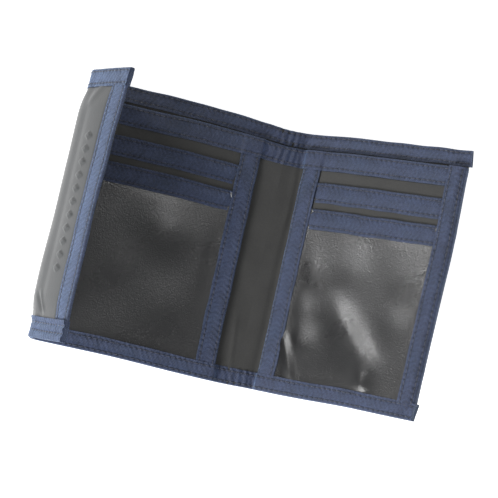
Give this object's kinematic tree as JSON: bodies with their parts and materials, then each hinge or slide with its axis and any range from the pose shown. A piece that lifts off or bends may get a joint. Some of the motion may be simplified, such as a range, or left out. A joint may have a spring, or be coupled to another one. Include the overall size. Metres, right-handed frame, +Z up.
{
  "type": "trifold wallet",
  "caption": "Small folding wallet lying open, with a pocket panel each side of a soft spine, a bill compartment, and a narrow closing flap on a gusset.",
  "frame": {"origin": "centre of the underside of the left panel, which lies flat", "axes": "+X runs from the closing flap to the right panel, across the fold lines; +Y runs along the fold lines to the bill opening; +Z is up, out of the pocket side"},
  "size_m": [0.1624, 0.115, 0.0551],
  "materials": {
    "outer_leather": "satin coated, fine grain",
    "pocket_leather": "glossy coated, softly wrinkled",
    "binding_tape": "woven nylon, twill ribs, stitched",
    "lining_cloth": "matte woven lining",
    "hook_and_loop": "matte pile"
  },
  "bodies": {
    "left_panel": {"left_bill_divider": "lining_cloth", "left_bottom_binding": "binding_tape", "left_inner_top_binding": "binding_tape", "left_lower_card_pocket": "pocket_leather", "left_lower_pocket_binding": "binding_tape", "left_outer_side_binding": "binding_tape", "left_pocket_backing": "lining_cloth", "left_shell": "outer_leather", "left_spine_side_binding": "binding_tape", "left_top_binding": "binding_tape", "left_upper_card_pocket": "pocket_leather", "left_upper_pocket_binding": "binding_tape"},
    "spine": {"spine_bottom_binding": "binding_tape", "spine_inner_top_binding": "binding_tape", "spine_lining": "lining_cloth", "spine_shell": "outer_leather", "spine_top_binding": "binding_tape"},
    "right_panel": {"right_bill_divider": "lining_cloth", "right_bottom_binding": "binding_tape", "right_inner_top_binding": "binding_tape", "right_lower_card_pocket": "pocket_leather", "right_lower_pocket_binding": "binding_tape", "right_outer_side_binding": "binding_tape", "right_pocket_backing": "lining_cloth", "right_shell": "outer_leather", "right_spine_side_binding": "binding_tape", "right_top_binding": "binding_tape", "right_upper_card_pocket": "pocket_leather", "right_upper_pocket_binding": "binding_tape", "loop_patch": "hook_and_loop"},
    "gusset": {"gusset_bottom_binding": "binding_tape", "gusset_lining": "lining_cloth", "gusset_shell": "outer_leather", "gusset_top_binding": "binding_tape"},
    "flap": {"flap_bottom_binding": "binding_tape", "flap_edge_binding": "binding_tape", "flap_lining": "lining_cloth", "flap_shell": "outer_leather", "flap_top_binding": "binding_tape", "hook_patch": "hook_and_loop"}
  },
  "joints": [
    {"name": "spine_fold", "type": "hinge", "parent": "left_panel", "child": "spine", "pos_m": [0.0407, 0, 0.00135], "axis": [0, -1, 0], "range_deg": [0, 90]},
    {"name": "right_fold", "type": "hinge", "parent": "spine", "child": "right_panel", "pos_m": [0.0587, 0, 0.00135], "axis": [0, -1, 0], "range_deg": [-40, 50]},
    {"name": "gusset_fold", "type": "hinge", "parent": "left_panel", "child": "gusset", "pos_m": [-0.0407, 0, 0.00135], "axis": [0, 1, 0], "range_deg": [-90, 0]},
    {"name": "flap_fold", "type": "hinge", "parent": "gusset", "child": "flap", "pos_m": [-0.0407, 0, 0.0226], "axis": [0, 1, 0], "range_deg": [-23, 63]}
  ]
}
